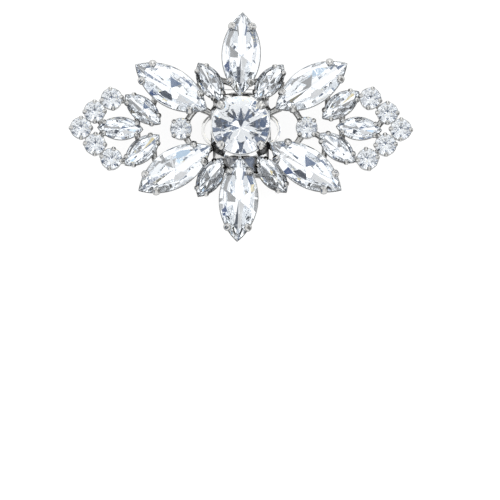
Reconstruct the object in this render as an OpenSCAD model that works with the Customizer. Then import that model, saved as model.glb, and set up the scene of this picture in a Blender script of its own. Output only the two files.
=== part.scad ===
// Crystal shoe clip: claw-set glass stones soldered edge to edge into an
// oblong spray, on a spring clip that pinches the upper of a shoe.
// It lies on its back, face up. X runs along the spray, Y up its face.

/* [Large petals] */
// Length of a large pointed stone, tip to tip
petal_l = 14.8; // [14.6:0.1:15.2]
// Width of a large pointed stone
petal_w = 6.7; // [6.4:0.05:6.9]
// Height of its girdle above the surface that the clip lies on
petal_z = 7.9; // [7.4:0.1:8.4]
// Distance of the top and bottom stones' centres from the middle
petal_reach = 12.9; // [12.8:0.05:13.4]

/* [Small leaves] */
// Length of a small pointed stone
leaf_l = 7.9; // [7.4:0.1:8.2]
// Width of a small pointed stone
leaf_w = 3.95; // [3.8:0.05:4]
// Height of its girdle
leaf_z = 6.7; // [6.5:0.1:7]

/* [Small rounds] */
// Diameter of a small round stone
bead_d = 3.6; // [3.2:0.05:3.65]
// Height of its girdle
bead_z = 6.7; // [6.5:0.1:7]
// Distance of the outermost rounds' centres from the middle
bead_reach = 28.2; // [28.1:0.1:29]

/* [Centre stone] */
// Diameter of the centre stone
centre_d = 10.1; // [9.4:0.1:10.2]
// Height of its girdle
centre_z = 9.6; // [9.4:0.1:10]
// Half width of its cup across the flats
centre_flat = 5.3; // [5.25:0.05:5.4]
// Radius of the cup at its four corners
centre_corner = 6.2; // [6:0.05:6.4]
// Radius that the corners come in to at the cup's underside
centre_foot = 4.8; // [4.4:0.1:5.2]
// Height of the corners' shoulder above the underside
centre_shoulder = 3.8; // [3.4:0.1:4.2]
// How far the cup's mouth stands out from the stone
centre_mouth = 0.25; // [0.2:0.05:0.3]
// How far below the middle of the girdle the mouth lies
centre_drop = 0.3; // [0.3:0.05:0.4]
// Thickness of the cup's wall down at its floor
centre_wall = 1.2; // [1:0.1:1.4]

/* [Clip finding] */
// Width of the plate behind the centre stone
plate_w = 9.9; // [9:0.1:10.5]
// Length of that plate
plate_l = 15.2; // [14:0.1:16]
// Height of the plate's upper face
plate_z = 4; // [3.8:0.05:4.02]
// Thickness of the sheet
sheet_t = 0.8; // [0.6:0.05:0.9]
// Width of the tongue under the plate
tongue_w = 8; // [7:0.1:8.5]
// How much shorter than the plate the tongue is
tongue_short = 1.5; // [1:0.1:2]
// Outer radius of the round ears at its sides
ear_r = 3; // [2.8:0.1:3.2]
// Width of the ring that makes each ear
ear_ring = 0.65; // [0.5:0.05:0.8]
// Thickness of an ear
ear_t = 0.56; // [0.5:0.02:0.7]
// Distance of the ears' centres from the middle
ear_x = 4.05; // [3.8:0.05:4.3]

/* [Metalwork] */
// Gap between a stone and its setting
seat_gap = 0.06; // [0.05:0.01:0.08]
// Height of the underside of all cups
cup_z = 4.1; // [4.1:0.01:4.2]
// Thickness of a cup's floor
floor_t = 0.4; // [0.3:0.05:0.5]
// Width of a solder joint between two cups
solder_w = 1; // [0.8:0.1:1.2]
// Height of a solder joint
solder_h = 1.2; // [1:0.1:1.4]
// How far above the cups' underside a solder joint lies
solder_up = 0.5; // [0.3:0.1:0.6]

/* [Hidden] */
// Rows of the table of cuts
PETAL = 0;
LEAF = 1;
BEAD = 2;
CENTRE = 3;

// Columns of the table of cuts
LEN = 0; // length
WID = 1; // width
LEVEL = 2; // height of the girdle
CROWN = 3; // height of the table above the girdle
DEPTH = 4; // depth of the point below the girdle
TABLE = 5; // width of the table, as a share of the stone's
LIP = 6; // how far the cup's wall stands out from the stone
TAPER = 7; // how far the wall leans in at its foot
FLOOR = 8; // width of the cup's floor round its window
CLAW_W = 9; // width of a claw
CLAW_AT = 10; // where the claws stand, in degrees from the middle of a side
OVER = 11; // how far a claw reaches in over the stone
FOOT = 12; // how far below the girdle a claw starts
LEAN = 13; // how far a claw leans in at its foot

CUTS = [
    [petal_l, petal_w, petal_z, 1.15, 2.5, 0.69, 0.15, 0.8, 1.3, 1.3, 31, 0.8, 2.3, 0.5],
    [leaf_l, leaf_w, leaf_z, 0.6, 1.55, 0.72, 0.15, 0.35, 0.85, 0.85, 36, 0.42, 1.55, 0.2],
    [bead_d, bead_d, bead_z, 0.6, 1.72, 0.56, 0.16, 0.25, 0.8, 0.75, 45, 0.45, 1.55, 0.15],
    [centre_d, centre_d, centre_z, 1.2, 4.9, 0.58, 0.3, 1.3, 0, 1.6, 45, 0.85, 1.9, -0.8],
];

// Columns of the table of stones
NAME = 0;
CUT = 1;
X = 2;
Y = 3;
TURN = 4;

// The small rounds are turned so that their claws stand clear of their neighbours
STONES = [
    ["centre_stone", CENTRE, 0, -0.1, 0],
    ["petal_top", PETAL, 0.05, petal_reach, 88],
    ["petal_upper_right", PETAL, 12.4, 7.25, 32.6],
    ["petal_lower_right", PETAL, 11.4, -7.1, -34],
    ["petal_bottom", PETAL, -0.4, -petal_reach, -92],
    ["petal_lower_left", PETAL, -11.6, -7.4, 212],
    ["petal_upper_left", PETAL, -12.3, 7, 147.6],
    ["leaf_upper_right", LEAF, 5, 8.05, 52],
    ["leaf_lower_right", LEAF, 5.45, -8.4, -51],
    ["leaf_lower_left", LEAF, -5.4, -8.85, 238],
    ["leaf_upper_left", LEAF, -5.45, 8.1, 121],
    ["fan_right_upper", LEAF, 17.6, 4.05, 36.5],
    ["fan_right_middle", LEAF, 20.8, -0.15, -5],
    ["fan_right_lower", LEAF, 16.95, -3.6, -39.5],
    ["fan_left_upper", LEAF, -17.3, 3.25, 140],
    ["fan_left_middle", LEAF, -21.25, -0.15, 177.5],
    ["fan_left_lower", LEAF, -17.4, -4, 222],
    ["inner_right", BEAD, 11.6, 0, 0],
    ["inner_left", BEAD, -10.55, -0.2, 0],
    ["edge_right_1", BEAD, 22.85, 5.25, 31],
    ["edge_right_2", BEAD, 25.85, 2.65, 44],
    ["edge_right_3", BEAD, bead_reach, -0.3, 42],
    ["edge_right_4", BEAD, 25.5, -3.05, 48],
    ["edge_right_5", BEAD, 22.3, -5.6, 54],
    ["edge_left_1", BEAD, -22.8, 5.15, 54],
    ["edge_left_2", BEAD, -25.8, 2.85, 46],
    ["edge_left_3", BEAD, -bead_reach, -0.05, 45],
    ["edge_left_4", BEAD, -25.7, -2.95, 42],
    ["edge_left_5", BEAD, -22.8, -5.55, 32],
];

// Pairs of cups that are soldered together
JOINTS = [
    ["centre_stone", "petal_top"],
    ["centre_stone", "petal_upper_right"],
    ["centre_stone", "petal_lower_right"],
    ["centre_stone", "petal_bottom"],
    ["centre_stone", "petal_lower_left"],
    ["centre_stone", "petal_upper_left"],
    ["petal_top", "leaf_upper_right"],
    ["petal_top", "leaf_upper_left"],
    ["petal_bottom", "leaf_lower_right"],
    ["petal_bottom", "leaf_lower_left"],
    ["petal_upper_right", "leaf_upper_right"],
    ["petal_lower_right", "leaf_lower_right"],
    ["petal_lower_left", "leaf_lower_left"],
    ["petal_upper_left", "leaf_upper_left"],
    ["petal_upper_right", "inner_right"],
    ["petal_lower_right", "inner_right"],
    ["petal_upper_left", "inner_left"],
    ["petal_lower_left", "inner_left"],
    ["petal_upper_right", "fan_right_upper"],
    ["petal_lower_right", "fan_right_lower"],
    ["fan_right_upper", "fan_right_middle"],
    ["fan_right_middle", "fan_right_lower"],
    ["inner_right", "fan_right_lower"],
    ["fan_right_upper", "edge_right_1"],
    ["edge_right_1", "edge_right_2"],
    ["edge_right_2", "edge_right_3"],
    ["edge_right_3", "edge_right_4"],
    ["edge_right_4", "edge_right_5"],
    ["edge_right_5", "fan_right_lower"],
    ["fan_right_middle", "edge_right_2"],
    ["fan_right_middle", "edge_right_4"],
    ["petal_upper_left", "fan_left_upper"],
    ["petal_lower_left", "fan_left_lower"],
    ["fan_left_upper", "fan_left_middle"],
    ["fan_left_middle", "fan_left_lower"],
    ["fan_left_upper", "edge_left_1"],
    ["edge_left_1", "edge_left_2"],
    ["edge_left_2", "edge_left_3"],
    ["edge_left_3", "edge_left_4"],
    ["edge_left_4", "edge_left_5"],
    ["edge_left_5", "fan_left_lower"],
    ["fan_left_middle", "edge_left_2"],
    ["fan_left_middle", "edge_left_4"],
];

// Half the thickness of a stone's girdle, as a share of its width
girdle_share = 0.03;
// Where the steep rim below the girdle ends, and how far in, as shares of the width
rim_share = 0.08;
rim_in_share = 0.035;
// Main facets round a round stone
round_folds = 8;
// Slope of its star facets, as a share of its kites' slope
star_share = 0.6;
// How much steeper its half facets are than the kites, and the lower ones than the mains
half_extra = 4;
lower_extra = 1.5;
// Depth that its blunt point lacks, as a share of the radius
blunt_share = 0.02;
// Facets along each side of a pointed stone
side_facets = 6;
// Facing directions of the facets under a pointed stone that meet in its point
under_turns = [90, 62, 30, -30, -62, -90];
// Slope of the facet over each tip of a pointed stone
tip_slope = 25;
// Thickness of a claw, as a share of its width
claw_share = 0.3;
// Farthest that a joint lies from a cup's middle, as a share of its length less its width
joint_share = 0.7;
// A block big enough to stand for half of space
half_block = 40;
// Overlap of parts that are joined, and how far a cut runs past what it cuts
sink = 0.3;
past = 1;
// Sides of the circles in a preview
curve_n = 96;

function stone(name) = [for (s = STONES) if (s[NAME] == name) s][0];
function col(s, column) = CUTS[s[CUT]][column];
function pointed(cut) = CUTS[cut][LEN] > CUTS[cut][WID];

// A pointed stone's outline is two arcs: their radius, how far each arc's
// centre lies beyond the stone's axis, and the half angle that each spans
function arc_r(l, w) = (l * l + w * w) / (4 * w);
function arc_off(l, w) = arc_r(l, w) - w / 2;
function arc_half(l, w) = asin(l / 2 / arc_r(l, w));

// Radius of a stone's outline, which for a pointed one is its arcs'
function rim_r(cut) =
    pointed(cut) ? arc_r(CUTS[cut][LEN], CUTS[cut][WID]) : CUTS[cut][WID] / 2;

// How far a pointed outline reaches towards a direction
function support(l, w, turn) =
    abs(cos(turn)) < sin(arc_half(l, w))
        ? arc_r(l, w) - arc_off(l, w) * abs(sin(turn))
        : l / 2 * abs(cos(turn));

// Distance to a pointed outline's edge, towards a direction, from a spot that
// lies along its axis from the middle
function edge_at(l, w, along, turn) =
    let (
        off = arc_off(l, w),
        lead = along * cos(turn) + off * abs(sin(turn))
    )
    sqrt(pow(arc_r(l, w), 2) + pow(lead, 2) - pow(off, 2) - pow(along, 2)) - lead;

// Keeps what lies behind a facet that leans by slope from flat, faces turn,
// and passes at reach from the origin; a slope over 90 faces downward
module behind(slope, turn, reach)
    rotate([0, slope, turn])
        translate([-half_block, -half_block, reach - 2 * half_block])
            cube(2 * half_block);

// A profile turned into a solid whose outline is parallel to the stone's. For
// a pointed stone it is what two solids, turned about the arcs' centres, share
module turned(cut, profile) {
    l = CUTS[cut][LEN];
    w = CUTS[cut][WID];
    if (pointed(cut))
        intersection_for (side = [-1, 1])
            translate([0, side * arc_off(l, w), 0])
                rotate_extrude($fn = curve_n) polygon(profile);
    else
        rotate_extrude($fn = curve_n) polygon(profile);
}

module navette(cut) {
    l = CUTS[cut][LEN];
    w = CUTS[cut][WID];
    crown = CUTS[cut][CROWN];
    depth = CUTS[cut][DEPTH];
    r = arc_r(l, w);
    off = arc_off(l, w);
    girdle = girdle_share * w;
    rim_z = rim_share * w + girdle;
    table_in = (1 - CUTS[cut][TABLE]) * w / 2;
    step = 2 * arc_half(l, w) / side_facets;
    chord = r * cos(step / 2);
    over = atan((crown - girdle) / table_in);
    under = atan((rim_z - girdle) / (rim_in_share * w));
    intersection() {
        intersection_for (side = [-1, 1])
            translate([0, side * off, -w]) cylinder(h = w + crown, r = r, $fn = curve_n);
        intersection_for (side = [-1, 1], i = [0.5:side_facets])
            translate([0, -side * off, 0])
                behind(over, side * 90 + (i - side_facets / 2) * step,
                    chord * sin(over) + girdle * cos(over));
        intersection_for (turn = [0, 180])
            behind(tip_slope, turn, l / 2 * sin(tip_slope) + girdle * cos(tip_slope));
        intersection_for (side = [-1, 1], i = [0.5:side_facets])
            translate([0, -side * off, 0])
                behind(180 - under, side * 90 + (i - side_facets / 2) * step,
                    chord * sin(under) + girdle * cos(under));
        intersection_for (base = [0, 180], turn = under_turns) {
            reach = support(l, w, turn) - rim_in_share * w;
            slope = atan((depth - rim_z) / reach);
            behind(180 - slope, base + turn, depth * cos(slope));
        }
    }
}

module round_cut(cut) {
    r = CUTS[cut][WID] / 2;
    crown = CUTS[cut][CROWN];
    depth = CUTS[cut][DEPTH];
    girdle = 2 * girdle_share * r;
    step = 360 / round_folds;
    table_r = CUTS[cut][TABLE] * r;
    // Kites run from the table's corners to the girdle
    kite = atan((crown - girdle) / (r - table_r / cos(step / 2)));
    star = star_share * kite;
    half = kite + half_extra;
    main = atan((depth - girdle) / r);
    lower = main + lower_extra;
    chord = r * cos(step / 4);
    culet_z = blunt_share * r - depth;
    intersection() {
        translate([0, 0, culet_z]) cylinder(h = crown - culet_z, r = r, $fn = curve_n);
        intersection_for (i = [1:round_folds]) {
            behind(kite, i * step, r * sin(kite) + girdle * cos(kite));
            behind(180 - main, i * step, depth * cos(main));
        }
        intersection_for (i = [1:round_folds])
            behind(star, (i + 0.5) * step, table_r * sin(star) + crown * cos(star));
        intersection_for (i = [0.5:2 * round_folds]) {
            behind(half, i * step / 2, chord * sin(half) + girdle * cos(half));
            behind(180 - lower, i * step / 2, chord * sin(lower) + girdle * cos(lower));
        }
    }
}

module gem(cut) if (pointed(cut)) navette(cut); else round_cut(cut);

// Room for a stone in the metal, a little larger all round
module gem_room(cut) {
    w = CUTS[cut][WID];
    crown = CUTS[cut][CROWN];
    depth = CUTS[cut][DEPTH];
    girdle = girdle_share * w;
    r = rim_r(cut) + seat_gap;
    point_r = r - w / 2;
    // A round stone's facets meet in corners that stand out past a plain cone
    corner = pointed(cut) ? 1 : 1 / cos(180 / round_folds);
    table_r = point_r + CUTS[cut][TABLE] * w / 2 * corner;
    under = pointed(cut)
        ? [[r, -rim_share * w - girdle]]
        : [[point_r + w / 4 * corner, -depth / 2], [r, -girdle]];
    turned(cut, concat(
        [[0, -depth - seat_gap], [point_r, -depth - seat_gap]],
        under,
        [[r, girdle + seat_gap], [table_r, crown + seat_gap], [table_r, crown + w], [0, crown + w]]
    ));
}

// Cup of a stone, from the common underside up to the stone's girdle
module cup(cut) {
    foot = cup_z - CUTS[cut][LEVEL];
    top = -girdle_share * CUTS[cut][WID];
    outer = rim_r(cut) + CUTS[cut][LIP];
    foot_r = outer - CUTS[cut][TAPER];
    floor_z = foot + floor_t;
    window = foot_r - CUTS[cut][FLOOR];
    difference() {
        turned(cut, [[0, foot], [foot_r, foot], [outer, top], [0, top]]);
        turned(cut, [
            [0, floor_z], [foot_r - floor_t, floor_z], [outer - floor_t, top + past], [0, top + past],
        ]);
        turned(cut, [[0, foot - past], [window, foot - past], [window, top], [0, top]]);
    }
}

// The centre stone's cup: square with round corners, where its claws rise
module centre_cup() {
    foot = cup_z - centre_z;
    difference() {
        intersection() {
            turned(CENTRE, [
                [0, foot], [centre_foot, foot], [centre_corner, foot + centre_shoulder],
                [centre_d / 2 + centre_mouth, -centre_drop], [0, -centre_drop],
            ]);
            translate([-centre_flat, -centre_flat, foot - past])
                cube([2 * centre_flat, 2 * centre_flat, centre_z]);
        }
        translate([0, 0, foot + floor_t])
            cylinder(
                h = centre_z, r1 = centre_flat - centre_wall, r2 = centre_flat - floor_t,
                $fn = curve_n
            );
    }
}

// A claw on the wall at the stone's edge, which is its origin: X runs outward
module claw(cut) {
    lip = CUTS[cut][LIP];
    over = CUTS[cut][OVER];
    foot = -CUTS[cut][FOOT];
    lean = CUTS[cut][LEAN];
    wide = CUTS[cut][CLAW_W];
    thick = claw_share * wide;
    // Rise of the stone's crown for each millimetre inward
    steep = CUTS[cut][CROWN] / ((1 - CUTS[cut][TABLE]) * CUTS[cut][WID] / 2);
    rotate([90, 0, 0])
        linear_extrude(wide, center = true)
            polygon([
                [-lean - thick, foot], [lip - lean + thick / 2, foot],
                [lip + thick, 0], [lip + thick / 2, thick],
                [-over / 2, over / 2 * steep + 1.5 * thick], [-over, over * steep + thick],
                [-over, over * steep - thick / 2], [-thick, -thick / 2],
            ]);
}

module claws(cut) {
    off = pointed(cut) ? arc_off(CUTS[cut][LEN], CUTS[cut][WID]) : 0;
    at = CUTS[cut][CLAW_AT];
    for (side = [-1, 1], end = [-1, 1])
        translate([0, -side * off, 0])
            rotate([0, 0, side * 90 + end * at])
                translate([rim_r(cut), 0, 0]) claw(cut);
}

module at_stone(s) translate([s[X], s[Y], col(s, LEVEL)]) rotate([0, 0, s[TURN]]) children();

// How far along a stone's axis it lies beside another stone, short of its tips
function beside(s, other) =
    let (
        most = joint_share * (col(s, LEN) - col(s, WID)),
        along = (other[X] - s[X]) * cos(s[TURN]) + (other[Y] - s[Y]) * sin(s[TURN])
    )
    max(-most, min(most, along));

function spot(s, along) = [s[X] + along * cos(s[TURN]), s[Y] + along * sin(s[TURN])];

// Distance to a stone's edge from a spot on its axis, towards a direction
function rim_at(s, along, turn) =
    pointed(s[CUT]) ? edge_at(col(s, LEN), col(s, WID), along, turn - s[TURN]) : rim_r(s[CUT]);

// A solder joint where two cups lie beside each other
module solder(pair) {
    a = stone(pair[0]);
    b = stone(pair[1]);
    a_along = beside(a, b);
    b_along = beside(b, a);
    from = spot(a, a_along);
    run = spot(b, b_along) - from;
    turn = atan2(run[1], run[0]);
    start = rim_at(a, a_along, turn) - sink - col(a, TAPER) / 2;
    end = norm(run) - rim_at(b, b_along, turn + 180) + sink + col(b, TAPER) / 2;
    translate([from[0], from[1], 0])
        rotate([0, 0, turn])
            translate([start, -solder_w / 2, cup_z + solder_up])
                cube([end - start, solder_w, solder_h]);
}

module settings() color("silver")
    difference() {
        union() {
            for (s = STONES)
                at_stone(s) {
                    if (s[CUT] == CENTRE) centre_cup(); else cup(s[CUT]);
                    claws(s[CUT]);
                }
            for (pair = JOINTS) solder(pair);
        }
        for (s = STONES) at_stone(s) gem_room(s[CUT]);
    }

// The spring clip, one plain piece: the plate with an ear on each side, a
// round bend and the tongue
module clip() color("gainsboro") {
    bend_r = plate_z / 2;
    bend_y = plate_l / 2 - bend_r;
    difference() {
        union() {
            translate([-plate_w / 2, -plate_l / 2, plate_z - sheet_t])
                cube([plate_w, plate_l - bend_r, sheet_t]);
            translate([-plate_w / 2, bend_y, bend_r])
                rotate([0, 90, 0]) cylinder(h = plate_w, r = bend_r, $fn = curve_n);
            translate([-tongue_w / 2, -plate_l / 2 + tongue_short, 0])
                cube([tongue_w, plate_l - bend_r - tongue_short, sheet_t]);
            for (side = [-1, 1])
                translate([side * ear_x, 0, plate_z - ear_t])
                    cylinder(h = ear_t, r = ear_r, $fn = curve_n);
        }
        translate([-plate_w, bend_y, bend_r])
            rotate([0, 90, 0]) cylinder(h = 2 * plate_w, r = bend_r - sheet_t, $fn = curve_n);
        translate([-plate_w, -plate_l, sheet_t])
            cube([2 * plate_w, plate_l + bend_y, plate_z - 2 * sheet_t]);
        // The eye of each ear is cut straight where it meets the plate
        for (turn = [0, 180])
            rotate([0, 0, turn])
                intersection() {
                    translate([ear_x, 0, 0])
                        cylinder(h = 2 * plate_z, r = ear_r - ear_ring, $fn = curve_n);
                    translate([plate_w / 2, -ear_r, 0]) cube([2 * ear_r, 2 * ear_r, 2 * plate_z]);
                }
    }
}

module set_stone(s) color("aliceblue") at_stone(s) gem(s[CUT]);

settings();
clip();
for (s = STONES)
    set_stone(s);
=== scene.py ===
# %% [markdown]
# A crystal shoe clip is a spray of cut glass stones. Each stone sits in its own little metal
# cup, four claws of the cup are bent over its edge, and the cups are soldered to each other.
# The clip that grips the shoe is fixed behind the middle.
#
# The CAD model already holds every stone and the metalwork at their real size. This script
# cuts the stones again with the facets' edges softened, gives them clear glass in front and a
# mirror foil behind, and makes the cups, claws and solder as a jeweller's metal really looks.

# %% Load the frame
import math
from collections import namedtuple

import bmesh
import bpy
from mathutils import Matrix, Vector


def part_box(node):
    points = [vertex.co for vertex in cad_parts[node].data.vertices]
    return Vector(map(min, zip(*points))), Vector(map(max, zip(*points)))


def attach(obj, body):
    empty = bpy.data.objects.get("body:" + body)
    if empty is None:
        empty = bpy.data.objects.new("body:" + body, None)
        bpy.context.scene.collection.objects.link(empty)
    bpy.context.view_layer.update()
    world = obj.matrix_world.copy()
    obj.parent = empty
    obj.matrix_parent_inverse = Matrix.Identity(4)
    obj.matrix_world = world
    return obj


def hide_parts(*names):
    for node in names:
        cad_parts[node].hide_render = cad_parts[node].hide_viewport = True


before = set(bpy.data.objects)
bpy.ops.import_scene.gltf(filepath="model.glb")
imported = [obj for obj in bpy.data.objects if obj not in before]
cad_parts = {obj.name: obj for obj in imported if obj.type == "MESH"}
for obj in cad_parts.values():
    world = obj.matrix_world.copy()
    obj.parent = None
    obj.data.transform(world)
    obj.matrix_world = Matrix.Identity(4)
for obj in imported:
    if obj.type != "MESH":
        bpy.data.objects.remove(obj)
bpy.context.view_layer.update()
MM = 0.001

# %% [markdown]
# The camera comes first, because everything is judged through it. Jewellery is photographed
# from far off with a long lens, so that near and far stones keep the same size. The camera
# leans a few degrees towards the lower edge of the spray, and it looks past the spray at an
# empty place below it, which leaves the spray in the upper half of the picture.

# %% Camera
CAMERA_DISTANCE = 0.7
CAMERA_LEAN = math.radians(9)
FRAME_WIDTH = 0.088
GIRDLE_LEVEL = 7.9 * MM
LOOK_AT = Vector((1.6 * MM, -21.9 * MM, GIRDLE_LEVEL))

camera_data = bpy.data.cameras.new("camera")
camera_data.lens = camera_data.sensor_width * CAMERA_DISTANCE / FRAME_WIDTH
camera_data.clip_start = 0.01
camera = bpy.data.objects.new("camera", camera_data)
camera.location = Vector((0, -math.sin(CAMERA_LEAN), math.cos(CAMERA_LEAN))) * CAMERA_DISTANCE
camera.location.z += GIRDLE_LEVEL
backward = (camera.location - LOOK_AT).normalized()
rightward = Vector((0, 1, 0)).cross(backward).normalized()
axes = Matrix((rightward, backward.cross(rightward), backward))
camera.rotation_euler = axes.transposed().to_euler()
bpy.context.scene.collection.objects.link(camera)
bpy.context.scene.camera = camera
print("lens in mm:", round(camera_data.lens))

# %% [markdown]
# Glass and metal have hardly any colour of their own: they show what stands round them. A
# photographer puts such a piece into a white tent, and lets a few dark gaps into it, because
# in an all-white tent every facet would be the same white. Here the tent is the world, a
# little darker overhead than at the horizon, and each row of the table is one soft-edged patch
# in it. Where patches overlap, the later row lies over the earlier one. Small blue and amber
# ones give the flashes of colour that heavy glass throws.

# %% The tent of light
# turn and rise: where the patch's middle lies, in degrees round from X and up from the
# horizon; spread: its radius in degrees; light and tint: how bright it is, and its colour
Patch = namedtuple("Patch", "turn rise spread light tint")
NEUTRAL = (1, 1, 1)
SLATE = (0.72, 0.97, 1.5)
BLUE = (0.5, 0.85, 2)
PALE_BLUE = (0.75, 0.95, 1.15)
AMBER = (1.15, 1, 0.6)
PATCHES = [
    Patch(60, 15, 10, 0.05, SLATE),
    Patch(95, 10, 20, 2, NEUTRAL),
    Patch(20, 55, 20, 0.2, SLATE),
    Patch(210, 15, 30, 0.2, SLATE),
    Patch(190, 40, 20, 1.5, NEUTRAL),
    Patch(290, 70, 15, 0.15, SLATE),
    Patch(120, 20, 20, 0.7, NEUTRAL),
    Patch(30, 50, 15, 2, NEUTRAL),
    Patch(260, 65, 5, 0.05, SLATE),
    Patch(235, 80, 5, 0.05, SLATE),
    Patch(35, 0, 10, 0.1, BLUE),
    Patch(335, 20, 30, 0.35, NEUTRAL),
    Patch(100, 55, 20, 1.3, NEUTRAL),
    Patch(330, 55, 20, 1.4, NEUTRAL),
    Patch(250, 35, 5, 0.7, AMBER),
    Patch(210, 15, 5, 1, AMBER),
    Patch(80, 70, 3, 1.1, AMBER),
    Patch(170, 45, 3, 0.7, PALE_BLUE),
    Patch(105, 65, 5, 1, PALE_BLUE),
]
HORIZON_LIGHT = 1.4
ZENITH_LIGHT = 0.9
# Width of a patch's soft edge, in degrees
PATCH_EDGE = 2
print("tent patches:", len(PATCHES))

# %% [markdown]
# The world's shader starts from the direction that a ray of light comes from. Its height picks
# the plain tent's brightness. For each patch, the dot product with the direction of the
# patch's middle is the cosine of the angle between them, so it says how far inside the ray is.
# Light crosses a cut stone many times, so it is followed for more bounces than usual.

# %% Directions and shader nodes
def sin_d(angle):
    return math.sin(math.radians(angle))


def cos_d(angle):
    return math.cos(math.radians(angle))


def direction(turn, rise):
    """The unit vector that points to a turn round from X and a rise, both in degrees."""
    return Vector((cos_d(rise) * cos_d(turn), cos_d(rise) * sin_d(turn), sin_d(rise)))


def add_node(tree, kind, **settings):
    """Adds a shader node. A setting named after a socket sets it, and any other sets a property."""
    node = tree.nodes.new(kind)
    for name, value in settings.items():
        socket = name.replace("_", " ").title()
        if socket in node.inputs:
            node.inputs[socket].default_value = value
        else:
            setattr(node, name, value)
    return node


# %% Build the tent
# A Mix node has sockets of one name for numbers, vectors and colours, so those for colours
# are picked by number
MIX_UNDER, MIX_OVER, MIX_RESULT = 6, 7, 2


def lay_patch(tree, ray, colour, patch):
    """Lays a patch over the colour that the tent has so far, and returns the new colour."""
    towards = add_node(tree, "ShaderNodeVectorMath", operation="DOT_PRODUCT")
    tree.links.new(ray, towards.inputs[0])
    towards.inputs[1].default_value = direction(patch.turn, patch.rise)
    inside = add_node(
        tree,
        "ShaderNodeMapRange",
        from_min=cos_d(patch.spread + PATCH_EDGE),
        from_max=cos_d(patch.spread),
    )
    tree.links.new(towards.outputs["Value"], inside.inputs["Value"])
    mix = add_node(tree, "ShaderNodeMix", data_type="RGBA")
    tree.links.new(inside.outputs["Result"], mix.inputs["Factor"])
    tree.links.new(colour, mix.inputs[MIX_UNDER])
    mix.inputs[MIX_OVER].default_value = [patch.light * part for part in patch.tint] + [1]
    return mix.outputs[MIX_RESULT]


def make_tent():
    """Builds the world: the plain tent from horizon to zenith, with the patches laid over it."""
    world = bpy.data.worlds.new("light_tent")
    world.use_nodes = True
    tree = world.node_tree
    background = tree.nodes["Background"]
    ray = add_node(tree, "ShaderNodeTexCoord").outputs["Generated"]
    height = add_node(tree, "ShaderNodeSeparateXYZ")
    tree.links.new(ray, height.inputs[0])
    sky = add_node(tree, "ShaderNodeMapRange", to_min=HORIZON_LIGHT, to_max=ZENITH_LIGHT)
    tree.links.new(height.outputs["Z"], sky.inputs["Value"])
    colour = sky.outputs["Result"]
    for patch in PATCHES:
        colour = lay_patch(tree, ray, colour, patch)
    tree.links.new(colour, background.inputs["Color"])
    bpy.context.scene.world = world


make_tent()
bpy.context.scene.view_settings.view_transform = "Standard"
cycles = bpy.context.scene.cycles
cycles.max_bounces = 24
cycles.glossy_bounces = 16
cycles.transmission_bounces = 16
print("bounces of light:", cycles.max_bounces)

# %% [markdown]
# The spray lies on a sheet of pale acrylic with a lamp under it, the usual way to keep a
# small thing's shadow faint. The sheet is one flat disc, a little bright by itself.

# %% Floor
FLOOR_RADIUS = 1.5
FLOOR_SIDES = 64
FLOOR_GREY = 0.2
FLOOR_ROUGHNESS = 0.6
FLOOR_GLOW = 0.9


def make_floor():
    """A pale disc at the height of the clip's underside. It is stage, not part of the object."""
    bm = bmesh.new()
    bmesh.ops.create_circle(bm, cap_ends=True, segments=FLOOR_SIDES, radius=FLOOR_RADIUS)
    mesh = bpy.data.meshes.new("floor")
    bm.to_mesh(mesh)
    bm.free()
    sheet = bpy.data.materials.new("lit_acrylic")
    sheet.use_nodes = True
    shader = sheet.node_tree.nodes["Principled BSDF"]
    shader.inputs["Base Color"].default_value = (FLOOR_GREY, FLOOR_GREY, FLOOR_GREY, 1)
    shader.inputs["Roughness"].default_value = FLOOR_ROUGHNESS
    shader.inputs["Emission Color"].default_value = (1, 1, 1, 1)
    shader.inputs["Emission Strength"].default_value = FLOOR_GLOW
    mesh.materials.append(sheet)
    floor = bpy.data.objects.new("floor", mesh)
    bpy.context.scene.collection.objects.link(floor)


make_floor()
print("floor radius in m:", FLOOR_RADIUS)

# %% [markdown]
# Every piece is modelled in millimetres, lying at its own place, and scaled to metres at the
# end. One helper does what all pieces need: it turns the bmesh into an object, lets it ride on
# the part's body, and hides the CAD node it stands for. A bevel can leave slivers where its
# edges meet, narrower than anything that shows, so the helper merges them first.

# %% Helper that adds a piece
SHORTEST_EDGE = 0.001


def merge_slivers(bm, width):
    """Merges points that lie closer than width, in millimetres, and drops faces without area."""
    bmesh.ops.remove_doubles(bm, verts=bm.verts, dist=width)
    bmesh.ops.dissolve_degenerate(bm, dist=width, edges=bm.edges)


def add_piece(bm, name, materials, stands_for, sharp=None):
    """Turns a bmesh into a piece. Edges over sharp degrees stay crisp, or all if it is None."""
    merge_slivers(bm, SHORTEST_EDGE)
    bmesh.ops.scale(bm, vec=(MM, MM, MM), verts=bm.verts)
    mesh = bpy.data.meshes.new(name)
    bm.to_mesh(mesh)
    bm.free()
    for material in materials:
        mesh.materials.append(material)
    if sharp is not None:
        mesh.shade_smooth()
        mesh.set_sharp_from_angle(angle=math.radians(sharp))
    piece = bpy.data.objects.new(name, mesh)
    bpy.context.scene.collection.objects.link(piece)
    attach(piece, "root")
    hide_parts(stands_for)


# %% [markdown]
# Clear glass bends light, so the shader only needs its refractive index, that of heavy
# crystal glass, and full transmission. The foil is a metal coat on the lower facets: a ray
# that comes down through the table is thrown back by it, which is why such stones glitter
# in a closed cup. A faint unevenness in both keeps the facets from looking computed.

# %% Glass and foil
def make_material(name, **values):
    """A Principled material with plain values on its sockets."""
    material = bpy.data.materials.new(name)
    material.use_nodes = True
    shader = material.node_tree.nodes["Principled BSDF"]
    for socket, value in values.items():
        shader.inputs[socket.replace("_", " ")].default_value = value
    return material


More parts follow.
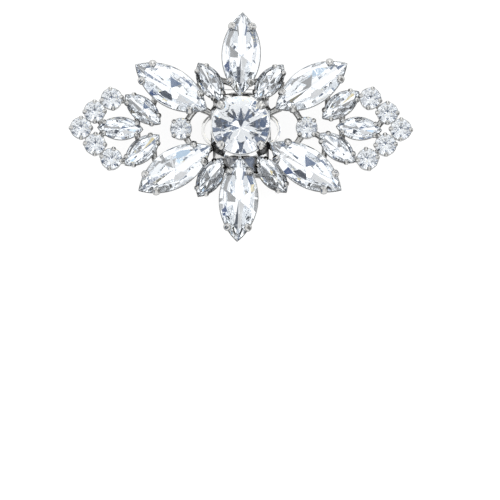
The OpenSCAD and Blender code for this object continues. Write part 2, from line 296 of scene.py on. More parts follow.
def add_noise(material, size, detail=2):
    """A noise pattern on Object coordinates, whose grains are about size millimetres."""
    tree = material.node_tree
    place = add_node(tree, "ShaderNodeTexCoord")
    noise = add_node(tree, "ShaderNodeTexNoise")
    noise.inputs["Scale"].default_value = 1 / (size * MM)
    noise.inputs["Detail"].default_value = detail
    tree.links.new(place.outputs["Object"], noise.inputs["Vector"])
    return noise


def add_bump(material, noise, depth):
    """Raises the surface by the noise, depth millimetres at most."""
    tree = material.node_tree
    bump = add_node(tree, "ShaderNodeBump")
    bump.inputs["Distance"].default_value = depth * MM
    tree.links.new(noise.outputs["Fac"], bump.inputs["Height"])
    tree.links.new(bump.outputs["Normal"], tree.nodes["Principled BSDF"].inputs["Normal"])


def spread(material, noise, socket, **limits):
    """Lets a socket of the shader wander with the noise, from to_min to to_max."""
    tree = material.node_tree
    span = add_node(tree, "ShaderNodeMapRange", **limits)
    tree.links.new(noise.outputs["Fac"], span.inputs["Value"])
    tree.links.new(span.outputs["Result"], tree.nodes["Principled BSDF"].inputs[socket])


GLASS_INDEX = 1.56
glass = make_material(
    "cut_glass",
    Base_Color=(0.97, 0.985, 1, 1),
    Roughness=0,
    IOR=GLASS_INDEX,
    Transmission_Weight=1,
)
add_bump(glass, add_noise(glass, size=1.5), depth=0.004)
ground = make_material(
    "ground_girdle",
    Base_Color=(0.95, 0.97, 1, 1),
    Roughness=0.3,
    IOR=GLASS_INDEX,
    Transmission_Weight=1,
)
add_bump(ground, add_noise(ground, size=0.2), depth=0.01)
foil = make_material("mirror_foil", Base_Color=(0.95, 0.96, 0.97, 1), Metallic=1, Roughness=0.02)
add_bump(foil, add_noise(foil, size=0.8), depth=0.006)
STONE_MATERIALS = [glass, ground, foil]
GLASS, GROUND, FOIL = range(len(STONE_MATERIALS))
print("glass index:", GLASS_INDEX)

# %% [markdown]
# Cups and claws are stamped brass with a bright silver plating. Plated metal is nearly a
# mirror, so its look comes from small things: the roughness that wanders a little, shallow
# dents from the pliers, and solder that is duller and lumpier than the sheet. One noise
# drives both the roughness and the dents of a metal, so they lie in the same spots.

# %% Bright metals
PLATED = (0.54, 0.54, 0.53, 1)
# A much lighter copy of the plating's colour, a painted highlight on the centre cup's flats and mouth
HIGHLIGHT_GREY = (0.93, 0.93, 0.92, 1)
STEEL = (0.95, 0.95, 0.94, 1)


def make_bright(name, colour, size, smooth, rough, dents):
    """A polished metal. size is the noise's grain and dents its depth, both in millimetres."""
    metal = make_material(name, Base_Color=colour, Metallic=1)
    noise = add_noise(metal, size, detail=4)
    spread(metal, noise, "Roughness", to_min=smooth, to_max=rough)
    add_bump(metal, noise, dents)
    return metal


plating = make_bright("bright_plating", PLATED, size=0.7, smooth=0.04, rough=0.2, dents=0.05)
# Painted highlight: the plating again, much lighter
highlight_plating = make_bright("rubbed_plating", HIGHLIGHT_GREY, size=0.9, smooth=0.05, rough=0.15, dents=0.02)
solder_metal = make_bright("plated_solder", PLATED, size=0.5, smooth=0.12, rough=0.35, dents=0.12)
spring_steel = make_bright("plated_steel", STEEL, size=0.4, smooth=0.1, rough=0.22, dents=0.01)
print("bright metals:", [metal.name for metal in (plating, highlight_plating, solder_metal, spring_steel)])

# %% [markdown]
# Faces that look up keep the bright plating. Those that look sideways or down get a darker copy,
# painted shade that draws a thin dark line round every stone. Just below the big centre stone,
# and in the corners of that stone's cup, it is painted black as shadow, with bare metal in spots.

# %% Painted shade
# The noise's values between which the painted black shadow gives way to bare metal
BLACK_UP_TO, BARE_FROM = 0.53, 0.7
# Height of a face's unit normal, above which the face keeps the bright plating, not painted shade
BRIGHT_ABOVE = 0.55
# How far from the middle of the spray the painted black shadow below the centre stone reaches, in
# millimetres
NOOK_REACH = 9

# A darker copy of the plating, for painted shade on faces that look sideways or down
shade_plating = make_material("tarnished_plating", Base_Color=(0.3, 0.3, 0.3, 1), Metallic=1)
shade_noise = add_noise(shade_plating, size=0.7, detail=4)
spread(shade_plating, shade_noise, "Roughness", to_min=0.2, to_max=0.35)
# A black copy of the plating, for painted shadow below the centre stone; the noise lets bare metal
# through in spots
black_shade = make_material("black_oxide", Metallic=0.9)
black_shade_noise = add_noise(black_shade, size=1.3, detail=5)
spread(black_shade, black_shade_noise, "Roughness", to_min=0.3, to_max=0.5)
spread(
    black_shade, black_shade_noise, "Base Color", from_min=BLACK_UP_TO, from_max=BARE_FROM, to_min=0.02, to_max=0.42
)
METALS = [plating, shade_plating, black_shade, highlight_plating]
PLATING, PAINTED_SHADE, PAINTED_BLACK, PAINTED_HIGHLIGHT = range(len(METALS))
print("metals of a cup:", [metal.name for metal in METALS])


def paint_side_shade(bm):
    """Gives the faces that look up the bright plating, and paints shade on the rest."""
    bm.normal_update()
    for face in bm.faces:
        face.material_index = PLATING if face.normal.z > BRIGHT_ABOVE else PAINTED_SHADE


def paint_nook_shadow(bm):
    """Paints black shadow on the shaded metal just below the centre stone."""
    for face in bm.faces:
        middle = face.calc_center_median()
        if face.material_index == PAINTED_SHADE and middle.y < 0 and middle.xy.length < NOOK_REACH:
            face.material_index = PAINTED_BLACK


# %% [markdown]
# Four cuts make all the stones. What can be measured on a stone's CAD node isn't typed in
# again: its place, level, turn, length, width and heights come from the node's own points.
# The table holds only the cutter's and the setter's choices. The farthest point of a pointed
# stone is its tip, which gives its turn. On a round one it is a corner of the table, and the
# turn repeats with every facet.

# %% Stones measured from the frame
# table: the table's width as a share of the stone's; lip: how far the cup's wall stands out;
# taper: how far it leans in at its foot; frame: width of the cup's floor round its window;
# claw: a claw's width; at: where the claws stand, in degrees; over: how far they reach in;
# foot: how far below the girdle a claw starts; lean: how far it leans in there
Cut = namedtuple("Cut", "table lip taper frame claw at over foot lean")
CUTS = {
    "petal": Cut(0.69, 0.15, 0.8, 1.3, 1.3, 31, 0.8, 2.3, 0.5),
    "leaf": Cut(0.72, 0.15, 0.35, 0.85, 0.85, 36, 0.42, 1.55, 0.2),
    "round": Cut(0.56, 0.16, 0.25, 0.8, 0.75, 45, 0.45, 1.55, 0.15),
    "centre": Cut(0.58, 0.3, 1.3, 0, 1.6, 45, 0.85, 1.9, -0.8),
}
CUT_OF = {
    "petal": "petal",
    "leaf": "leaf",
    "fan": "leaf",
    "inner": "round",
    "edge": "round",
    "centre": "centre",
}
Stone = namedtuple("Stone", "name cut x y level turn length width crown depth")
# Main facets round a round stone, and the angle between them, at which its claws stand too
FOLDS = 8
ROUND_STEP = 360 / FOLDS
# How near to the top a point of the table lies, and how near to the edge one of the girdle
TABLE_TOLERANCE = 0.01
GIRDLE_TOLERANCE = 0.02


def is_pointed(cut):
    return cut.at != ROUND_STEP


def measure(name):
    """Reads one stone's place and size off its CAD node, in millimetres and degrees."""
    cut = CUTS[CUT_OF[name.split("_")[0]]]
    points = [vertex.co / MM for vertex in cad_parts[name].data.vertices]
    low, high = (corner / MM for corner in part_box(name))
    middle = (low + high) / 2
    top = [point for point in points if point.z > high.z - TABLE_TOLERANCE]
    outer = points if is_pointed(cut) else top
    far = max(outer, key=lambda point: (point.xy - middle.xy).length)
    turn = math.degrees(math.atan2(far.y - middle.y, far.x - middle.x))
    if not is_pointed(cut):
        turn = (turn + ROUND_STEP / 2) % ROUND_STEP - ROUND_STEP / 2
    back = Matrix.Rotation(-math.radians(turn), 3, "Z")
    local = [back @ (point - middle) for point in points]
    length = 2 * max(point.x for point in local)
    width = 2 * max(point.y for point in local)
    reach = max(point.xy.length for point in local)
    edge = [point.z + middle.z for point in local if point.xy.length > reach - GIRDLE_TOLERANCE]
    level = (min(edge) + max(edge)) / 2
    return Stone(
        name, cut, middle.x, middle.y, level, turn, length, width, high.z - level, level - low.z
    )


stones = [measure(name) for name in sorted(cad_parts) if name.split("_")[0] in CUT_OF]
print(len(stones), "stones; the centre one is", round(stones[0].width, 2), "mm wide")

# %% [markdown]
# A stone is ground the way a cutter does it. The blank is a plain puck, and each facet is one
# flat cut: bisect_plane takes away what lies beyond a plane, and the hole is closed with a
# new face. A facet needs three numbers: its slope, the way it faces, and how far out it lies.

# %% One facet
GRINDING_EXACTNESS = 0.0001


def atan_d(rise, run):
    return math.degrees(math.atan2(rise, run))


def grind(bm, slope, turn, reach, about=0):
    """Cuts one facet. Slopes over 90 degrees face down. about is how far along Y its axis lies."""
    out = Vector((sin_d(slope) * cos_d(turn), sin_d(slope) * sin_d(turn), cos_d(slope)))
    cut = bmesh.ops.bisect_plane(
        bm,
        geom=bm.verts[:] + bm.edges[:] + bm.faces[:],
        dist=GRINDING_EXACTNESS,
        plane_co=Vector((0, about, 0)) + out * reach,
        plane_no=out,
        clear_outer=True,
    )
    rim = [part for part in cut["geom_cut"] if isinstance(part, bmesh.types.BMEdge)]
    if rim:
        bmesh.ops.edgeloop_fill(bm, edges=rim)


# %% [markdown]
# A pointed stone, a navette, is outlined by two arcs. Its blank is half of a round puck whose
# middle lies beyond the stone's axis, mirrored to the other side. A row of facets rises from
# the girdle to the table, a narrow steep row lies under the girdle, and ten long facets
# underneath meet in one point.

# %% The pointed cut
# Half the girdle's thickness, then how deep the steep rim below it goes and how far it comes
# in, all as shares of the stone's width
GIRDLE_SHARE = 0.03
RIM_SHARE = 0.08
RIM_IN_SHARE = 0.035
# Rim facets along each side, slope of the one at each tip, and where the long ones below face
SIDE_FACETS = 6
TIP_SLOPE = 25
UNDER_TURNS = [90, 62, 30, -30, -62]
PUCK_SIDES = 160


def arcs(length, width):
    """Radius of the two arcs, how far their middles lie beyond the axis, and their half angle."""
    radius = (length**2 + width**2) / (4 * width)
    return radius, radius - width / 2, math.degrees(math.asin(length / 2 / radius))


def mirror_across_axis(bm):
    """Keeps the half with Y above 0 and mirrors it to the other side, welded along the axis."""
    everything = bm.verts[:] + bm.edges[:] + bm.faces[:]
    bmesh.ops.bisect_plane(
        bm, geom=everything, dist=GRINDING_EXACTNESS, plane_co=(0, 0, 0), plane_no=(0, 1, 0),
        clear_inner=True,
    )
    half = bm.verts[:] + bm.edges[:] + bm.faces[:]
    bmesh.ops.mirror(bm, geom=half, axis="Y", merge_dist=GRINDING_EXACTNESS)
    bmesh.ops.remove_doubles(bm, verts=bm.verts, dist=GRINDING_EXACTNESS)
    bmesh.ops.recalc_face_normals(bm, faces=bm.faces)


def cut_pointed(stone):
    """A pointed stone lying along X with its girdle at height 0."""
    length, width = stone.length, stone.width
    radius, beyond, half = arcs(length, width)
    girdle = GIRDLE_SHARE * width
    rim_z = RIM_SHARE * width + girdle
    table_in = (1 - stone.cut.table) * width / 2
    step = 2 * half / SIDE_FACETS
    chord = radius * cos_d(step / 2)
    over = atan_d(stone.crown - girdle, table_in)
    under = atan_d(rim_z - girdle, RIM_IN_SHARE * width)
    bm = bmesh.new()
    bmesh.ops.create_cone(
        bm, cap_ends=True, segments=PUCK_SIDES, radius1=radius, radius2=radius, depth=1
    )
    bmesh.ops.scale(bm, vec=(1, 1, stone.crown + stone.depth), verts=bm.verts)
    lift = (stone.crown - stone.depth) / 2
    bmesh.ops.translate(bm, vec=(0, -beyond, lift), verts=bm.verts)
    mirror_across_axis(bm)
    for side in (-1, 1):
        for number in range(SIDE_FACETS):
            turn = side * 90 + (number + 0.5 - SIDE_FACETS / 2) * step
            rim_reach = chord * sin_d(over) + girdle * cos_d(over)
            grind(bm, over, turn, rim_reach, -side * beyond)
            rim_reach = chord * sin_d(under) + girdle * cos_d(under)
            grind(bm, 180 - under, turn, rim_reach, -side * beyond)
    for turn in (0, 180):
        tip_reach = length / 2 * sin_d(TIP_SLOPE) + girdle * cos_d(TIP_SLOPE)
        grind(bm, TIP_SLOPE, turn, tip_reach)
    for base in (0, 180):
        for turn in UNDER_TURNS:
            if abs(cos_d(turn)) < sin_d(half):
                support = radius - beyond * abs(sin_d(turn))
            else:
                support = length / 2 * abs(cos_d(turn))
            slope = atan_d(stone.depth - rim_z, support - RIM_IN_SHARE * width)
            grind(bm, 180 - slope, base + turn, stone.depth * cos_d(slope))
    return bm


# %% [markdown]
# The round stones have the classic cut of eight: kites, stars and halves above the girdle,
# long mains and halves below. All of them follow from the table's width and the two heights.

# %% The round cut
# Slope of a star facet, as a share of a kite's
STAR_LEAN = 0.6
# How many degrees steeper the halves are than the kites, and the lower ones than the mains
HALF_EXTRA = 4
LOWER_EXTRA = 1.5
# How much deeper the facets below would meet if the point weren't blunt, in stone radii
BLUNT_POINT = 0.04
ROUND_PUCK_SIDES = 96


def cut_round(stone):
    """A round stone with its girdle at height 0."""
    radius = stone.width / 2
    girdle = GIRDLE_SHARE * stone.width
    table_r = stone.cut.table * radius
    kite = atan_d(stone.crown - girdle, radius - table_r / cos_d(ROUND_STEP / 2))
    star = STAR_LEAN * kite
    half = kite + HALF_EXTRA
    depth = stone.depth + BLUNT_POINT * radius
    main = atan_d(depth - girdle, radius)
    lower = main + LOWER_EXTRA
    chord = radius * cos_d(ROUND_STEP / 4)
    bm = bmesh.new()
    bmesh.ops.create_cone(
        bm, cap_ends=True, segments=ROUND_PUCK_SIDES, radius1=radius, radius2=radius, depth=1
    )
    bmesh.ops.scale(bm, vec=(1, 1, stone.crown + stone.depth), verts=bm.verts)
    bmesh.ops.translate(bm, vec=(0, 0, (stone.crown - stone.depth) / 2), verts=bm.verts)
    for number in range(FOLDS):
        turn = number * ROUND_STEP
        grind(bm, kite, turn, radius * sin_d(kite) + girdle * cos_d(kite))
        star_reach = table_r * sin_d(star) + stone.crown * cos_d(star)
        grind(bm, star, turn + ROUND_STEP / 2, star_reach)
        grind(bm, 180 - main, turn, depth * cos_d(main))
    for number in range(2 * FOLDS):
        turn = (number + 0.5) * ROUND_STEP / 2
        grind(bm, half, turn, chord * sin_d(half) + girdle * cos_d(half))
        grind(bm, 180 - lower, turn, chord * sin_d(lower) + girdle * cos_d(lower))
    return bm


# %% [markdown]
# No real facet ends in a knife edge: pressing and polishing round it by a few hundredths of a
# millimetre, and those narrow ridges are the fine bright lines inside a stone. So every long
# edge gets a tiny bevel. Faces that look down get the foil, the upright ones are the ground
# girdle, and the rest is polished glass.

# %% Set every stone
# Height of a face's unit normal, up to which the face counts as upright
UPRIGHT = 0.05
EDGE_ROUNDING = 0.035
SLIVER = 0.01
# Shorter edges, and those between flatter faces, stay as they are
LEAST_RIDGE_LENGTH = 0.3
LEAST_RIDGE_ANGLE = math.radians(5)


def put_in_place(bm, stone):
    """Turns and moves a stone's bmesh from its own axes to its place in the spray."""
    turn = Matrix.Rotation(math.radians(stone.turn), 3, "Z")
    bmesh.ops.rotate(bm, matrix=turn, cent=(0, 0, 0), verts=bm.verts)
    bmesh.ops.translate(bm, vec=(stone.x, stone.y, stone.level), verts=bm.verts)


def make_stone(stone):
    """Cuts a stone, softens its edges and sets it in its place. Returns how many faces it has."""
    bm = cut_pointed(stone) if is_pointed(stone.cut) else cut_round(stone)
    bm.normal_update()
    for face in bm.faces:
        face.material_index = GLASS if face.normal.z > UPRIGHT else GROUND
        if face.normal.z < -UPRIGHT:
            face.material_index = FOIL
    ridges = [
        edge
        for edge in bm.edges
        if edge.calc_length() > LEAST_RIDGE_LENGTH
        and len(edge.link_faces) == 2
        and edge.calc_face_angle() > LEAST_RIDGE_ANGLE
    ]
    bmesh.ops.bevel(
        bm, geom=ridges, offset=EDGE_ROUNDING, segments=1, profile=0.5, affect="EDGES",
        material=-1, clamp_overlap=True,
    )
    merge_slivers(bm, SLIVER)
    faces = len(bm.faces)
    put_in_place(bm, stone)
    add_piece(bm, stone.name + "_glass", STONE_MATERIALS, stone.name)
    return faces


for stone in stones:
    print(stone.name, "cut with", make_stone(stone), "faces")

# %% [markdown]
# A cup is stamped from thin sheet: a floor with a window in it and a wall that leans out up to
# the stone's edge. The wall's section is drawn once and spun about the middle of the stone's
# outline. For a pointed cup that middle is the arc's, so half of it is spun and mirrored, and
# the tips mitre themselves.

# %% Cups
CUP_UNDERSIDE = 4.1
SHEET = 0.4
SEAT_GAP = 0.06
RIM_ROUNDING = 0.05
# Steps of a full round, and of half of one on a pointed stone's large arc
SPIN_STEPS = 48
# Edges sharper than the first angle, in degrees, are rounded, and those that are still sharper
# than the second after that look crisp
CUP_CREASE = 25
CUP_SHARP = 35


def spin_section(bm, section, beyond, pointed):
    """Spins a closed section, given as radius and height pairs, into a round or pointed shell."""
    corners = [bm.verts.new((radius, -beyond, height)) for radius, height in section]
    edges = [bm.edges.new(pair) for pair in zip(corners, corners[1:] + corners[:1])]
    bmesh.ops.spin(
        bm,
        geom=corners + edges,
        cent=(0, -beyond, 0),
        axis=(0, 0, 1),
        angle=math.pi if pointed else 2 * math.pi,
        steps=SPIN_STEPS,
        use_merge=not pointed,
        use_duplicate=False,
    )
    if pointed:
        mirror_across_axis(bm)
    bmesh.ops.remove_doubles(bm, verts=bm.verts, dist=GRINDING_EXACTNESS)
    bmesh.ops.recalc_face_normals(bm, faces=bm.faces)


def round_edges(bm, crease, offset):
    """Bevels each edge that is sharper than crease degrees."""
    sharp = [
        edge
        for edge in bm.edges
        if len(edge.link_faces) == 2 and edge.calc_face_angle() > math.radians(crease)
    ]
    bmesh.ops.bevel(
        bm, geom=sharp, offset=offset, segments=2, profile=0.5, affect="EDGES",
        material=-1, clamp_overlap=True,
    )


def make_cup(stone):
    """The cup of a pointed or small round stone, in the stone's own axes."""
    pointed = is_pointed(stone.cut)
    radius, beyond = stone.width / 2, 0
    if pointed:
        radius, beyond, _ = arcs(stone.length, stone.width)
    foot = CUP_UNDERSIDE - stone.level
    top = -GIRDLE_SHARE * stone.width
    outer = radius + stone.cut.lip
    foot_r = outer - stone.cut.taper
    window = foot_r - stone.cut.frame
    section = [
        (window, foot),
        (foot_r, foot),
        (outer, top),
        (radius + SEAT_GAP, top),
        (foot_r - SHEET, foot + SHEET),
        (window, foot + SHEET),
    ]
    bm = bmesh.new()
    spin_section(bm, section, beyond, pointed)
    round_edges(bm, CUP_CREASE, RIM_ROUNDING)
    # Painted shade on the cup's walls that look sideways or down
    paint_side_shade(bm)
    return bm


# %% [markdown]
# A solder joint lies where two cups are beside each other, which for a long cup may be far
# from its middle. So each stone is met at the spot on its own axis that is nearest to the
# middle of the other one, and the gap is measured along the line between those two spots.

# %% Where two stones are beside each other
# Farthest that a joint lies from a cup's middle, as a share of its length less its width
JOINT_SHARE = 0.7


def beside(stone, other):
    """How far along its axis a stone lies beside another one, but short of its tips."""
    most = JOINT_SHARE * (stone.length - stone.width)
    run = Vector((other.x - stone.x, other.y - stone.y, 0))
    along = run.dot(direction(stone.turn, 0))
    return max(-most, min(most, along))


def rim_at(stone, along, turn):
    """Distance to a stone's edge from a spot along its axis, towards a turn in degrees."""
    if not is_pointed(stone.cut):
        return stone.width / 2
    radius, beyond, _ = arcs(stone.length, stone.width)
    turn -= stone.turn
    lead = along * cos_d(turn) + beyond * abs(sin_d(turn))
    return math.sqrt(radius**2 + lead**2 - beyond**2 - along**2) - lead


def line_between(first, second):
    """The short line between two stones: the spot it comes from, its turn, and its two ends."""
    first_along, second_along = beside(first, second), beside(second, first)
    spots = [
        Vector((stone.x, stone.y, 0)) + along * direction(stone.turn, 0)
        for stone, along in ((first, first_along), (second, second_along))
    ]
    run = spots[1] - spots[0]
    turn = atan_d(run.y, run.x)
    start = rim_at(first, first_along, turn)
    return spots[0], turn, start, run.length - rim_at(second, second_along, turn + 180)


# %% [markdown]
# Which cups are soldered together is worked out from the stones' places: those whose edges
# come close. The centre stone stands high, so it is joined to the large stones alone. The
# claws need this too, because a claw of a round cup must not stand where a neighbour is.

# %% Neighbours
# The widest gap that solder bridges
SOLDER_REACH = 1.7
# Pairs that come that close, and yet aren't joined
KEPT_APART = [{"edge_left_3", "fan_left_middle"}, {"fan_right_upper", "inner_right"}]


def soldered(first, second):
    """Says whether two stones' cups are joined."""
    names = {first.name, second.name}
    if "centre_stone" in names:
        return any(name.startswith("petal") for name in names)
    _, _, start, end = line_between(first, second)
    return end - start < SOLDER_REACH and names not in KEPT_APART


def neighbours(stone):
    """The stones whose cups are joined to this one's."""
    return [other for other in stones if other is not stone and soldered(stone, other)]


joints = [
    (first, second)
    for number, first in enumerate(stones)
    for second in stones[number + 1 :]
    if soldered(first, second)
]
print("solder joints:", len(joints))

# %% [markdown]
# A claw is a narrow tongue of the same sheet. It stands on the wall and is bent over the
# stone with pliers, and polishing leaves its back domed and its end round. It starts as one
# flat section, half as thick at the foot, that is pushed up, spun round the bend and pushed on
# along the stone's crown. The last pushes shrink it to the round end.

# %% A claw's sizes
# The section's corners, from one edge over the back to the other: height and width, as shares
# of the claw's thickness and width
CLAW_SECTION = [(0, -0.5), (0.5, -0.43), (0.85, -0.25), (1, 0), (0.85, 0.25), (0.5, 0.43), (0, 0.5)]
# The claw's thickness and the length of its round end, as shares of its width
CLAW_THICKNESS = 0.3
CLAW_END = 0.42
# Thickness of the foot, as a share of the bend's
FOOT_THICKNESS = 0.5
# Where the steps of the round end lie, in degrees along its quarter circle
END_STEPS = [35, 62, 80]
BEND_RADIUS = 0.1
BEND_STEPS = 5
# Gap between the claw and the stone's crown
CLAW_GAP = 0.02


def crown_slope(stone):
    """How steeply the stone's rim rises to its table, in degrees."""
    girdle = GIRDLE_SHARE * stone.width
    table_in = (1 - stone.cut.table) * stone.width / 2
    return atan_d(stone.crown - girdle, table_in)


# %% [markdown]
# Extrude and spin copy a face and leave the first one behind, as a wall inside the claw. Where
# they get its edges and corners as well, they take the face along instead.

# %% Push a face along
def with_rim(face):
    """A face with its edges and corners."""
    return [face] + face.edges[:] + face.verts[:]


def push(bm, face, vector):
    """Extrudes one face along a vector and returns the new end face."""
    made = bmesh.ops.extrude_face_region(bm, geom=with_rim(face))["geom"]
    end = [part for part in made if isinstance(part, bmesh.types.BMFace)][0]
    bmesh.ops.translate(bm, vec=vector, verts=end.verts)
    return end


# %% One claw
def make_claw(stone):
    """One claw. The stone's edge is the origin, X runs outward and Z up."""
    wide = stone.cut.claw
    thick = CLAW_THICKNESS * wide
    lip, drop, lean = stone.cut.lip, stone.cut.foot, stone.cut.lean
    slope = crown_slope(stone)
    girdle = GIRDLE_SHARE * stone.width
    inset = sin_d(slope) * (lip - BEND_RADIUS)
    rise = girdle + (CLAW_GAP - BEND_RADIUS - inset) / cos_d(slope)
    bm = bmesh.new()
    section = [
        bm.verts.new((lip - lean + height * thick * FOOT_THICKNESS, share * wide, -drop))
        for height, share in CLAW_SECTION
    ]
    end = push(bm, bm.faces.new(section), (lean, 0, drop + rise))
    from_wall = Matrix.Translation((-lip, 0, 0))
    bmesh.ops.scale(bm, vec=(1 / FOOT_THICKNESS, 1, 1), space=from_wall, verts=end.verts)
    bend = bmesh.ops.spin(
        bm,
        geom=with_rim(end),
        cent=(lip - BEND_RADIUS, 0, rise),
        axis=(0, -1, 0),
        angle=math.radians(90 - slope),
        steps=BEND_STEPS,
        use_duplicate=False,
    )
    end = [part for part in bend["geom_last"] if isinstance(part, bmesh.types.BMFace)][0]
    back = Vector((sin_d(slope), 0, cos_d(slope)))
    ahead = Vector((-cos_d(slope), 0, sin_d(slope)))
    length = (lip - BEND_RADIUS + BEND_RADIUS * sin_d(slope) + stone.cut.over) / cos_d(slope)
    round_end = CLAW_END * wide
    end = push(bm, end, ahead * (length - round_end))
    base = Vector((lip - BEND_RADIUS, 0, rise)) + back * BEND_RADIUS + ahead * (length - round_end)
    level = Matrix.Rotation(-math.radians(slope), 4, "Y")
    before = 0
    for angle in END_STEPS:
        step = ahead * round_end * (sin_d(angle) - sin_d(before))
        end = push(bm, end, step)
        base += step
        shrink = cos_d(angle) / cos_d(before)
        bmesh.ops.scale(
            bm, vec=(1, shrink, shrink), space=level @ Matrix.Translation(-base), verts=end.verts
        )
        before = angle
    bmesh.ops.recalc_face_normals(bm, faces=bm.faces)
    # Painted shade on the claw's sides that look sideways or down
    paint_side_shade(bm)
    return bm


# %% [markdown]
# A pointed stone's four claws stand on its two arcs, at the angle that the table gives on each
# side of the arc's middle. A small round stone's stand at the corners of a square, which is
# turned by 45 degrees where a claw would otherwise run into a neighbour.

# %% Where the claws stand
def join(bm, other):
    """Adds another bmesh to this one, and frees it."""
    mesh = bpy.data.meshes.new("joined")
    other.to_mesh(mesh)
    other.free()
    bm.from_mesh(mesh)
    bpy.data.meshes.remove(mesh)


def clear_turn(stone):
    """Of the two ways to turn a round stone's cup, the one whose claws stand clear of others."""
    ways = [atan_d(other.y - stone.y, other.x - stone.x) for other in neighbours(stone)]

    def clearance(turn):
        return min(abs((way - turn) % 90 - ROUND_STEP) for way in ways)

    return max((0, ROUND_STEP), key=lambda extra: clearance(stone.turn + extra))


def claw_places(stone):
    """Where the four claws stand: the axis they are turned about, their turn and radius."""
    if not is_pointed(stone.cut):
        first = ROUND_STEP + clear_turn(stone)
        return [(0, first + 90 * number, stone.width / 2) for number in range(4)]
    radius, beyond, _ = arcs(stone.length, stone.width)
    return [
        (-side * beyond, side * 90 + end * stone.cut.at, radius)
        for side in (-1, 1)
        for end in (-1, 1)
    ]


def add_claws(bm, stone):
    """Bends four claws over a stone and joins them to its cup."""
    for about, turn, radius in claw_places(stone):
        claw = make_claw(stone)
        bmesh.ops.translate(claw, vec=(radius, 0, 0), verts=claw.verts)
        turned = Matrix.Rotation(math.radians(turn), 3, "Z")
        bmesh.ops.rotate(claw, matrix=turned, cent=(0, 0, 0), verts=claw.verts)
        bmesh.ops.translate(claw, vec=(0, about, 0), verts=claw.verts)
        join(bm, claw)


# %% [markdown]
# The centre stone's cup is deeper and square, with a claw on each round corner. Its section is
# spun to a full round, and four flat cuts then make the sides. The flats and the mouth get a
# much lighter copy of the plating, a painted highlight. The corners behind the claws get a
# painted black shadow.

# %% Centre cup
# Half width across the flats, and the radius at the corners and at the underside
CENTRE_FLAT = 5.3
CENTRE_CORNER = 6.2
CENTRE_FOOT = 4.8
# How far the mouth stands out from the stone, and its height from the girdle
CENTRE_MOUTH = 0.25
CENTRE_TOP = -0.3
# Height of the corners' shoulder above the underside
CENTRE_SHOULDER = 3.8
# How far the seat under the stone comes in and goes down, and the wall's thickness at its foot
CENTRE_SEAT = 0.35
CENTRE_SEAT_DEPTH = 1
CENTRE_WALL = 1.2
# Painted black shadow lies farther out than this along both X and Y. The painted highlight on
# the fold of the mouth lies above this height
CENTRE_BLACK = 3.7
CENTRE_FOLD = -1


def make_centre_cup(stone):
    """The centre stone's cup in its own axes: square with round corners, closed underneath."""
    foot = CUP_UNDERSIDE - stone.level
    radius = stone.width / 2
    section = [
        (0, foot),
        (CENTRE_FOOT, foot),
        (CENTRE_CORNER, foot + CENTRE_SHOULDER),
        (radius + CENTRE_MOUTH, CENTRE_TOP),
        (radius + SEAT_GAP, CENTRE_TOP),
        (radius - CENTRE_SEAT, CENTRE_TOP - CENTRE_SEAT_DEPTH),
        (CENTRE_FLAT - CENTRE_WALL, foot + SHEET),
        (0, foot + SHEET),
    ]
    bm = bmesh.new()
    spin_section(bm, section, 0, False)
    for turn in range(0, 360, 90):
        grind(bm, 90, turn, CENTRE_FLAT)
    round_edges(bm, CUP_CREASE, RIM_ROUNDING)
    # Painted shade on the sides that look sideways or down
    paint_side_shade(bm)
    # The corners get the painted black shadow, the mouth and the flats a painted highlight
    for face in bm.faces:
        middle = face.calc_center_median()
        near, far = sorted((abs(middle.x), abs(middle.y)))
        if near > CENTRE_BLACK:
            face.material_index = PAINTED_BLACK
        elif middle.z > CENTRE_FOLD or far > CENTRE_FLAT - RIM_ROUNDING:
            face.material_index = PAINTED_HIGHLIGHT
    return bm


cup_faces = 0
for stone in stones:
    cup = make_centre_cup(stone) if stone.name == "centre_stone" else make_cup(stone)
    add_claws(cup, stone)
    put_in_place(cup, stone)
    # Painted black shadow on the shaded metal just below the centre stone
    paint_nook_shadow(cup)
    cup_faces += len(cup.faces)
    add_piece(cup, stone.name + "_cup", METALS, "settings", CUP_SHARP)
print("cups and claws:", cup_faces, "faces")

# %% [markdown]
# Between two neighbouring cups runs a drop of solder. It wets both walls and pulls itself thin
# in the middle, like a short neck. Its outline is spun about the line between the two stones.

# %% Solder
# Radius at the waist, and how much wider the neck is at its ends
SOLDER_WAIST = 0.55
SOLDER_FLARE = 0.2
SOLDER_LEVEL = 5.2
# How far a neck runs on into each cup, past half the lean of its wall
SOLDER_SINK = 0.4
SOLDER_STEPS = 8
SOLDER_SIDES = 14
SOLDER_SHARP = 40


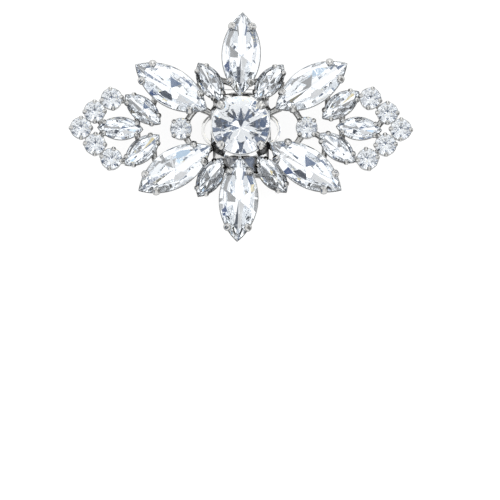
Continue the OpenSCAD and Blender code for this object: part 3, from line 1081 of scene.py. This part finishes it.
def make_solder(first, second):
    """A neck of solder between two cups."""
    spot, turn, start, end = line_between(first, second)
    start -= SOLDER_SINK + first.cut.taper / 2
    end += SOLDER_SINK + second.cut.taper / 2
    bm = bmesh.new()
    outline = []
    for number in range(SOLDER_STEPS + 1):
        share = number / SOLDER_STEPS
        radius = SOLDER_WAIST + SOLDER_FLARE * (2 * share - 1) ** 2
        outline.append(bm.verts.new((start + share * (end - start), 0, radius)))
    edges = [bm.edges.new(pair) for pair in zip(outline, outline[1:])]
    bmesh.ops.spin(
        bm, geom=outline + edges, cent=(0, 0, 0), axis=(1, 0, 0), angle=2 * math.pi,
        steps=SOLDER_SIDES, use_merge=True, use_duplicate=False,
    )
    bmesh.ops.holes_fill(bm, edges=bm.edges, sides=0)
    bmesh.ops.recalc_face_normals(bm, faces=bm.faces)
    turned = Matrix.Rotation(math.radians(turn), 3, "Z")
    bmesh.ops.rotate(bm, matrix=turned, cent=(0, 0, 0), verts=bm.verts)
    bmesh.ops.translate(bm, vec=(spot.x, spot.y, SOLDER_LEVEL), verts=bm.verts)
    return bm


solder = bmesh.new()
for first, second in joints:
    join(solder, make_solder(first, second))
print("solder:", len(solder.faces), "faces")
# Painted shade on the solder's sides, and painted black shadow below the centre stone
paint_side_shade(solder)
paint_nook_shadow(solder)
solder_metals = [solder_metal, shade_plating, black_shade]
add_piece(solder, "solder_joints", solder_metals, "settings", SOLDER_SHARP)

# %% [markdown]
# The clip behind the middle is one bent piece of spring sheet with a round ear on each side.
# Its CAD shape is already right, so a copy of that mesh is used: the loose triangles are
# merged, flat areas become single faces, and the sharp edges are rounded a little, because a
# stamped and tumbled sheet has no sharp ones.

# %% Clip
CLIP_ROUNDING = 0.1
# Edges flatter than the first angle, in degrees, vanish, and sharper than the second are rounded
CLIP_FLAT = 1
CLIP_CREASE = 30


def make_clip():
    """Rounds the edges of a copy of the CAD clip. Returns how many faces it has."""
    bm = bmesh.new()
    bm.from_mesh(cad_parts["clip"].data)
    bmesh.ops.scale(bm, vec=(1 / MM,) * 3, verts=bm.verts)
    bmesh.ops.remove_doubles(bm, verts=bm.verts, dist=SHORTEST_EDGE)
    bmesh.ops.dissolve_limit(
        bm, angle_limit=math.radians(CLIP_FLAT), verts=bm.verts, edges=bm.edges
    )
    round_edges(bm, CLIP_CREASE, CLIP_ROUNDING)
    # Painted shade on the clip's sides that look sideways or down
    paint_side_shade(bm)
    faces = len(bm.faces)
    add_piece(bm, "clip_finding", [spring_steel, shade_plating], "clip", CLIP_CREASE)
    return faces


print("clip:", make_clip(), "faces")
